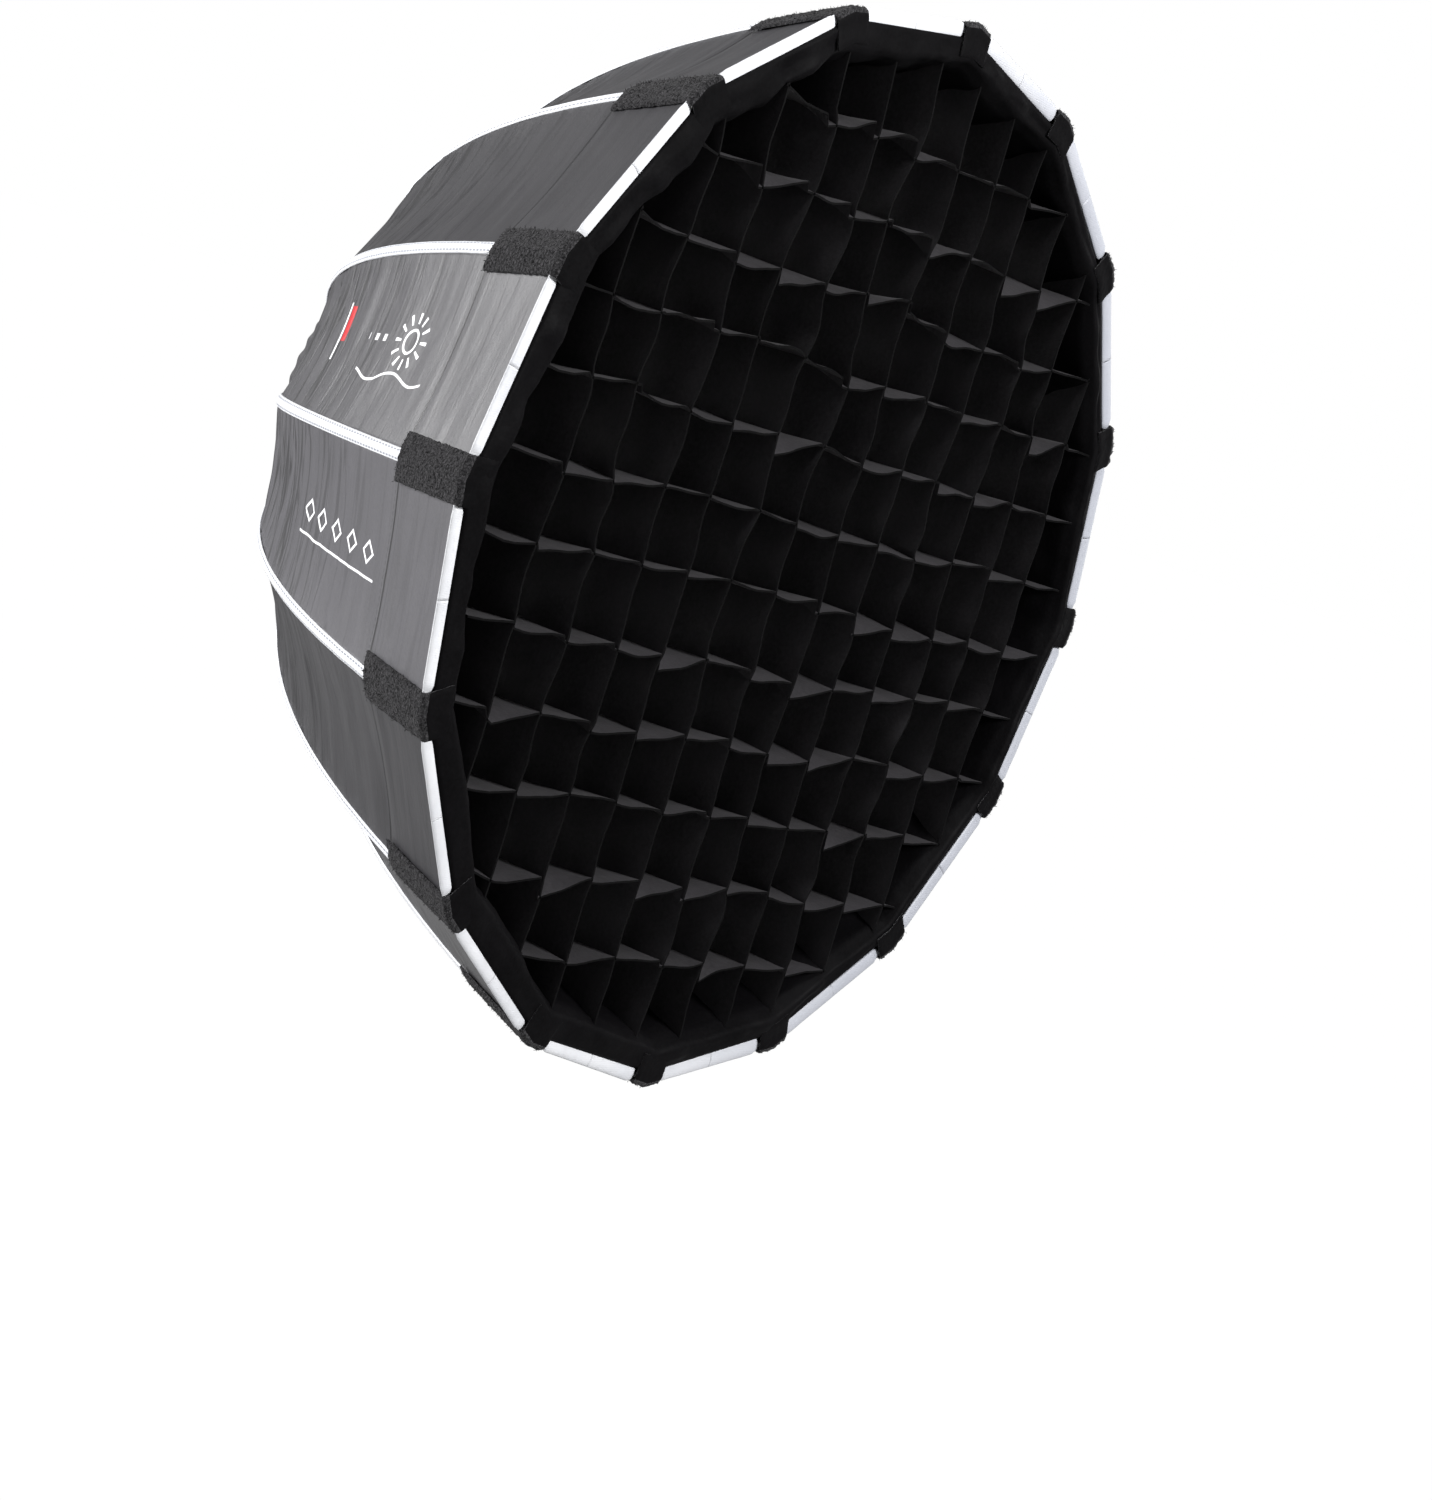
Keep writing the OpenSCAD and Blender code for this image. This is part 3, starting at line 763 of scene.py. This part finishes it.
def border_slack(th, path):
    """How far (mm) the border hangs in: its inner edge most at the top left, its outer edge at +X."""
    ring = [(math.cos(q), math.sin(q)) for q in th]
    amp = np.array([2.2*abs(noise.noise(Vector((2.1*c, 2.1*s, 3.0))))
                    + 1.4*abs(noise.noise(Vector((7.0*c, 7.0*s, 9.0)))) for c, s in ring])
    amp = amp*(1 + 1.8*np.exp(-((th - 2.3)/0.6)**2))
    loose = np.clip((279.0 - path[:, 0])/11.0, 0, 1)*np.clip((path[:, 1] - 272.0)/24.0, 0, 1)
    inner = loose[:, None]*np.minimum(amp, 4.5)[None, :]*1.6
    outer = np.clip((path[:, 0] - 272.0)/8.0, 0, 1)[:, None]*6.0*np.clip(0.35 + 0.9*np.cos(th), 0, 1)[None, :]
    return inner + outer


REAR_W = 252.6      # mm, where the border's inner band ends inside the dome
REAR_R = 250.1      # its radius there
FLARE = 0.36        # how much it widens per mm towards the front
RISE = 1.0          # how far the grid's front stands out from the rim's plane


def band_r(w):
    """Radius of the border's inner band at depth w."""
    return REAR_R + FLARE*(w - REAR_W)


def border_w(r):
    """Depth of the border's face at radius r."""
    return 301.5 + RISE*np.clip((281.2 - np.asarray(r, float))/9.8, 0, 1)


border_path = ([(282.4, 299.8), (282.2, 300.9)]
               + [(R, float(border_w(R))) for R in np.linspace(281.2, 271.4, 12)]
               + [(270.2, 301.3 + RISE), (269.2, 300.4 + RISE), (268.7, 299.0 + RISE)]
               + [(band_r(w), w) for w in np.linspace(296.5 + RISE, REAR_W, 14)])
border, area = ring_shell(border_path, 1.0, 384, "grid_border_cloth", BORDER, "front_grid",
                          border_dig, border_slack)
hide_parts("grid_border")
sheet_of(border, area, 1.75, 0.068, "stretched", rests_on=["rib_01"])


def band_at(u, w=REAR_W):
    """Half the length at depth w of a strip u mm off the middle, out to the border's inner band."""
    reach = (band_r(w) - 0.6)*CA
    turns = [math.pi/2 - ALPHA + i*2*ALPHA for i in range(16)]
    return min((reach - u*math.cos(th))/math.sin(th) for th in turns if math.sin(th) > 1e-6)


PITCH, DEEP, REAR = 40.0, 48.0, 252.0       # of the grid's cells: spacing, depth and where they start
LINES = [(i - 5.5)*PITCH for i in range(12)]
GAP = 0.65                                  # between a strip and the one that it crosses
DOWN = np.array([0, 0.15, 0.32, 0.5, 0.62, 0.72, 0.8, 0.87, 0.92, 0.955, 0.985, 1.0])  # from rear to front


def strip_mesh(u, cross, i):
    """The two faces of grid strip i, a thin wavy sheet u mm off the middle with a thicker front edge."""
    half = band_at(abs(u))
    marks = [-half] + [x for x in LINES if abs(x) < half - 4] + [half]
    along, cell, frac = [], [], []
    for c, (lo, hi) in enumerate(zip(marks, marks[1:])):
        n = max(3, int((hi - lo)/4.0))
        xs = np.linspace(lo + (GAP if c else 0), hi - (GAP if c < len(marks) - 2 else 0), n)
        along += list(xs)
        cell += [c]*n
        frac += list((xs - lo)/(hi - lo))
    along, cell, frac = np.array(along), np.array(cell), np.array(frac)
    droop = rng.gamma(1.3, 3.6, len(marks) - 1) if cross else rng.normal(0.0, 1.0, len(marks) - 1)
    bow = rng.normal(0.0, 1.0, len(marks) - 1)
    low = np.array([noise.noise(Vector((float(x)*0.013, i*3.7, 5.0 if cross else 17.0))) for x in along])
    mid = np.array([noise.noise(Vector((float(x)*0.045, i*5.1, 9.0 if cross else 23.0))) for x in along])
    ends = np.clip((half - np.abs(along))/12.0, 0, 1)
    loose = 1 + 0.9*np.clip(((u if cross else along) + 20.0)/170.0, 0, 1)      # the upper cells hang looser
    hump = np.sin(np.pi*frac)
    off = np.zeros((len(DOWN), len(along)))
    for j, share in enumerate(DOWN):
        tip = max(0.0, (share - 0.52)/0.48)
        back = max(0.0, (0.42 - share)/0.42)
        if cross:
            drop = -np.minimum(droop[cell], 11.0)*(1 - frac)**1.5*tip**1.6
            wave = drop - 1.0*tip*hump + bow[cell]*0.9*hump*back + mid*1.8*loose*tip
        else:
            wave = bow[cell]*1.2*hump*tip + droop[cell]*0.9*np.sin(2*np.pi*frac)*tip**2 + mid*2.0*loose*tip
        off[j] = wave*ends + low*6.0*loose*ends*(0.3 + 0.7*tip)

    # The stretch past the last crossing grows towards the front, where the border is wider
    depth = REAR + 0.3 + DOWN*(DEEP + RISE - 0.7)
    last = marks[-2]
    spread = np.array([(band_at(abs(u), w) - last)/(half - last) for w in depth])[:, None]
    over = np.maximum(np.abs(along) - last, 0)[None, :]
    run = along[None, :] + np.sign(along)[None, :]*over*(spread - 1)
    depth = depth[:, None] + 0*along[None, :]
    thick = np.where(DOWN > 0.93, 0.55, 0.45)[:, None]
    if cross:
        return front(run, u + off + thick, depth), front(run, u + off - thick, depth)
    return front(u + off - thick, run, depth), front(u + off + thick, run, depth)


for name, cross in (("upright", False), ("cross", True)):
    for i, u in enumerate(LINES):
        o, q = strip_mesh(u, cross, i)
        v, f, nf, nb = shell(o, q, False)
        edges = len(f) - nf - nb
        # The strips' edge faces take the darker copy of the grid cloth as painted shade
        ob = make(f"grid_{name}_{i + 1:02d}", v, f, [GRIDCLOTH, GRID_EDGE_SHADE], [0]*(nf + nb) + [1]*edges,
                  body="front_grid", crisp=50)
        if i == 0:
            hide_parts(f"grid_{name}")
        sheet_of(ob, quad_area(o), 2*band_at(abs(u), REAR + DEEP + RISE)*MM*1.04, 0.052, "stretched")


# ---------------------------------------------------------------- tabs
TAB_ROWS, TAB_COLS = 50, 25
LOOPS = 420         # loose loops of pile on each tab


def tab_line():
    """A tab's middle line from its rear end over the rim: (distances, (radius, depth) points, ways, normals)."""
    d = CL_OUT + 1.1
    pts = [curve(s_back(a), d) for a in np.linspace(54.5, 3.0, 20)]
    edge = curve(s_back(0.0), d)
    pts += [(edge[0] + 0.5, 300.4), (edge[0] + 0.1, 301.7), (edge[0] - 1.2, 302.6)]
    pts += [(r, 1.35 + float(border_w(r))) for r in np.linspace(edge[0] - 3.0, 271.6, 7)]
    pts = np.array(pts, float)
    run = np.concatenate([[0], np.cumsum(np.linalg.norm(np.diff(pts, axis=0), axis=1))])
    at = np.linspace(0, run[-1], TAB_ROWS)
    pts = np.stack([np.interp(at, run, pts[:, 0]), np.interp(at, run, pts[:, 1])], -1)
    t = np.gradient(pts, axis=0)
    t /= np.linalg.norm(t, axis=1, keepdims=True)
    return at, pts, t, np.stack([t[:, 1], -t[:, 0]], -1)


def tab(k):
    """Outer and inner points of tab k, and how many of its rows lie on the canopy."""
    at, pts, t, nn = tab_line()
    across = np.linspace(-12.0, 12.0, TAB_COLS)
    o, q = np.empty((TAB_ROWS, TAB_COLS, 3)), np.empty((TAB_ROWS, TAB_COLS, 3))
    rear = int((pts[:, 1] < 302.0).sum())
    for i in range(TAB_ROWS):
        end, flat = min(i, TAB_ROWS - 1 - i), i >= rear
        wide = [noise.fractal(Vector((at[i]*0.5, k*9.0 + sgn, 3.0)), 0.6, 2.1, 3) for sgn in (-1, 1)]
        for j, tx in enumerate(across):
            side = min(j, TAB_COLS - 1 - j)
            x = tx*(1 + (wide[0] if tx < 0 else wide[1])*(0.02 if flat else 0.05))
            jag = 0.9*noise.noise(Vector((tx*0.7, k*4.0, 1.0))) if end == 0 else 0.0
            fuzz = noise.fractal(Vector((tx*0.5 + 20*k, at[i]*0.5, 4.0)), 0.6, 2.1, 4)*(0.12 if flat else 0.6)
            crown = (0.35 if flat else 1.05) - 0.8*(side == 0) - 0.8*(end == 0) - 0.2*(side == 1)
            for arr, off in ((o, max(crown + fuzz, 0.0)), (q, -0.75)):
                r, w = pts[i, 0] + nn[i, 0]*off, pts[i, 1] + nn[i, 1]*off
                arr[i, j] = row(k, r - abs(x)*TA, x, w + t[i, 1]*jag)
    return o, q, rear


def pile(o, rear, count):
    """Loose loops of the tape's pile: small closed spikes rooted in the tab's rough face."""
    n = side_normals(o)
    if n[5, TAB_COLS//2] @ (o[5, TAB_COLS//2]*np.array([1, 0, 1])) < 0:
        n = -n
    v, f = [], []
    for _ in range(count):
        i, j = rng.integers(0, rear), rng.integers(0, TAB_COLS)
        root = o[i, j] + rng.normal(0, 0.35*MM, 3) - n[i, j]*0.25*MM
        way = n[i, j] + rng.normal(0, 0.55, 3)
        way /= np.linalg.norm(way)
        a = np.cross(way, (0.3, 0.9, 0.1))
        a /= np.linalg.norm(a)
        b = np.cross(way, a)
        thick, tall = rng.uniform(0.14, 0.26)*MM, rng.uniform(0.7, 1.75)*MM
        base = len(v)
        v += [root + thick*(math.cos(q)*a + math.sin(q)*b) for q in (0, 2.094, 4.189)] + [root + tall*way]
        f += [tuple(base + c for c in face) for face in ((0, 2, 1), (0, 1, 3), (1, 2, 3), (2, 0, 3))]
    return v, f


for k in RODS:
    o, q, rear = tab(k)
    v, f, nf, nb = shell(o, q, False)
    skin = np.zeros(len(f), int)
    skin[:nf + nb] = np.tile(np.repeat(np.arange(TAB_ROWS - 1), TAB_COLS - 1) >= rear, 2)
    f = outwards(v, f)
    pv, pf = pile(o, rear, LOOPS)
    f = f + [tuple(x + len(v) for x in face) for face in outwards(pv, pf)]
    v = np.concatenate([v, pv])
    ob = make(f"grid_tab_{k:02d}", v, f, [FUZZ, BORDER], np.concatenate([skin, np.zeros(len(pf), int)]),
              body="front_grid", crisp=70)
    if k == 1:
        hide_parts("grid_tabs")
    sheet_of(ob, quad_area(o), 0.0265, 0.085, "folded", rests_on=["grid_border_cloth"])


# ---------------------------------------------------------------- diffuser and collar
def disc_sheet(name, R, w, thick, mat, body, billow):
    """A 16-sided sheet stretched flat, as rings of points round its middle."""
    n, rings = 192, 30
    th = np.linspace(0, 2*math.pi, n, endpoint=False)
    share = np.linspace(0.012, 1, rings)[:, None]
    r = poly_r(R, th)[None, :]*share
    x, y = r*np.cos(th), r*np.sin(th)
    b = billow*(1 - share**2)
    d = b + 0.7*bumpy(np.stack([x, y, 0*x], -1), 0.016, 4.0)*(1 - share**4)
    a, c = front(x, y, w + d), front(x, y, w + d - thick)
    m = rings*n
    v = np.concatenate([a.reshape(-1, 3), c.reshape(-1, 3)])
    f = grid_faces(rings, n, 0, True, True) + grid_faces(rings, n, m, False, True)
    f += [tuple(range(n)), tuple(m + j for j in range(n - 1, -1, -1))]
    last = (rings - 1)*n
    f += [(last + j, m + last + j, m + last + (j + 1) % n, last + (j + 1) % n) for j in range(n)]
    return make(name, v, f, [mat], body=body), quad_area(closed(a))


diff, area = disc_sheet("diffuser_cloth", 247.0, 244.6, 0.5, DIFFUSER, "front_diffuser",
                        -3.0)
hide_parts("diffuser")
hem_path = ([(260.2, 243.5), (260.4, 244.6), (259.6, 245.5)]
            + [(R, 245.7 + 0.12*math.sin(R)) for R in np.linspace(258.6, 247.6, 9)]
            + [(246.6, 245.4), (246.2, 244.6)])
hem, _ = ring_shell(hem_path, 1.1, 320, "diffuser_hem", DIFFUSER, "front_diffuser",
                    lambda p, th, path: 0.25*bumpy(p, 90.0, 2.0))
sheet_of(diff, area, 0.497, 0.497, "stretched", with_pieces=[hem])


def pleats(th, rows):
    """How far (mm) the gathered collar stands out, over its rows from front to rear."""
    share = np.linspace(0, 1, rows)[:, None]
    wave = np.sin(56*th + 1.6*np.sin(5*th) + 0.8*share)
    return (0.85*wave + 0.35*np.sin(23*th + 2))*np.sin(np.pi*np.clip(share*0.86 + 0.12, 0, 1))


def collar():
    """The gathered cloth that closes the canopy round the hub."""
    th = np.linspace(0, 2*math.pi, 448, endpoint=False)
    pts = np.array([(94.6, 3.2)] + list(zip(np.linspace(95.4, 106.9, 14), np.linspace(3.4, 25.2, 14))))
    t = np.gradient(pts, axis=0)
    t /= np.linalg.norm(t, axis=1, keepdims=True)
    nn = np.stack([t[:, 1], -t[:, 0]], -1)
    d = pleats(th[None, :], len(pts))
    o_r, o_w = pts[:, :1] + nn[:, :1]*d, pts[:, 1:] + nn[:, 1:]*d
    i_r, i_w = o_r - nn[:, :1]*0.7, o_w - nn[:, 1:]*0.7
    a = front(o_r*np.cos(th), o_r*np.sin(th), o_w)
    v, f = round_shell(a, front(i_r*np.cos(th), i_r*np.sin(th), i_w), True)
    ob = make("rear_collar_cloth", v, f, [COLLAR], body="hub")
    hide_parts("rear_collar")
    sheet_of(ob, quad_area(closed(a)), 0.78, 0.029, "gathered", rests_on=["speed_ring"])


collar()


# ---------------------------------------------------------------- catch springs
def leaf_spring(k):
    """A bowed leaf between the hub and a catch, built in its bowed shape; the real leaf flattens as the catch is
    pressed.
    """
    t = np.linspace(-3.6, 3.6, 25)
    r = 52.65 + 2.5*np.cos(np.pi*t/7.2)**1.2
    w = np.array([6.0, 6.2, 7.2, 8.2, 8.4])[:, None]
    o, q = row(k, r + 0.32, t, w + 0*t), row(k, r, t, w + 0*t)
    v, f, _, _ = shell(o, q, False)
    ob = make(f"catch_leaf_{k:02d}", v, f, [LEAF], body="hub", crisp=50)
    if k == 1:
        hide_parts("latch_springs")
    point(k, 52.6, 0, 7)
    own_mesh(ob)


for k in RODS:
    leaf_spring(k)


# ---------------------------------------------------------------- camera, light and floor
# Fitted to the sixteen rim corners in the photograph
EYE, LENS = (-1.3957, -1.2253, 0.0717), 80.97
LOOK, UP = Vector((0.8235, 0.5574, -0.1060)), Vector((-0.0848, 0.3056, 0.9484))
cam = bpy.data.objects.new("camera", bpy.data.cameras.new("camera"))
cam.data.lens, cam.data.sensor_width, cam.data.sensor_fit = LENS, 36.0, "HORIZONTAL"
forward = LOOK.normalized()
right = forward.cross(UP).normalized()
up = right.cross(forward)
cam.matrix_world = Matrix.Translation(EYE) @ Matrix((right, up, -forward)).transposed().to_4x4()
SCENE.collection.objects.link(cam)
SCENE.camera = cam


def area_light(name, at, aim, size, watts, colour=(1, 1, 1)):
    lamp = bpy.data.lights.new(name, "AREA")
    lamp.shape, lamp.size, lamp.energy, lamp.color = "DISK", size, watts, colour
    ob = bpy.data.objects.new(name, lamp)
    ob.location = at
    ob.rotation_euler = (Vector(aim) - Vector(at)).to_track_quat("-Z", "Y").to_euler()
    SCENE.collection.objects.link(ob)


area_light("rear_left", (-1.45, 1.4, 0.6), (0, -0.15, 0), 1.0, 66.0)
area_light("left", (-2.35, 0.45, 0.1), (0, -0.1, 0), 1.2, 40.0)
area_light("top", (-0.1, -0.95, 1.9), (0, -0.3, 0), 0.7, 26.0)
area_light("front_top", (0.4, -2.3, 1.0), (0, -0.3, 0), 0.6, 85.0)
area_light("right", (1.9, -0.1, 0.3), (0, -0.15, 0), 1.2, 5.0)

# The background and the floor look white to the camera, but throw less light than that on the object.
world = bpy.data.worlds.new("studio")
SCENE.world = world
world.use_nodes = True
wt = world.node_tree
wt.nodes.clear()


def background(strength):
    node = wt.nodes.new("ShaderNodeBackground")
    node.inputs[0].default_value, node.inputs[1].default_value = (1, 1, 1, 1), strength
    return node.outputs[0]


mixer = wt.nodes.new("ShaderNodeMixShader")
wt.links.new(wt.nodes.new("ShaderNodeLightPath").outputs["Is Camera Ray"], mixer.inputs[0])
wt.links.new(background(0.28), mixer.inputs[1])
wt.links.new(background(1.0), mixer.inputs[2])
wt.links.new(mixer.outputs[0], wt.nodes.new("ShaderNodeOutputWorld").inputs[0])
SCENE.view_settings.view_transform = "Standard"

FLOOR_Z, FLOOR_HALF = -0.62, 60
fm = Mat("floor_paper", rough=0.9, spec=0.1)
dust = fm.noise(fm.obj, 3.0, 3.0)
paper = fm.mix(fm.ramp(dust, 0.3, 0.7), (0.3, 0.3, 0.3), (0.36, 0.36, 0.36))
fm.done(paper, fm.ramp(dust, 0.3, 0.7, 0.85, 0.95))
glow = fm.node("Emission", {"Strength": 1.02})
seen = fm.math("MULTIPLY", fm.node("LightPath").outputs["Is Camera Ray"], 0.98)
blend = fm.node("MixShader", {0: seen, 1: fm.b.outputs[0], 2: glow.outputs[0]})
fm.t.links.new(blend.outputs[0], [n for n in fm.t.nodes if n.type == "OUTPUT_MATERIAL"][0].inputs[0])
me = bpy.data.meshes.new("floor")
corners = ((-1, -1), (1, -1), (1, 1), (-1, 1))
me.from_pydata([(x*FLOOR_HALF, y*FLOOR_HALF, FLOOR_Z) for x, y in corners], [], [(0, 1, 2, 3)])
me.materials.append(fm.m)
floor = bpy.data.objects.new("floor", me)
SCENE.collection.objects.link(floor)
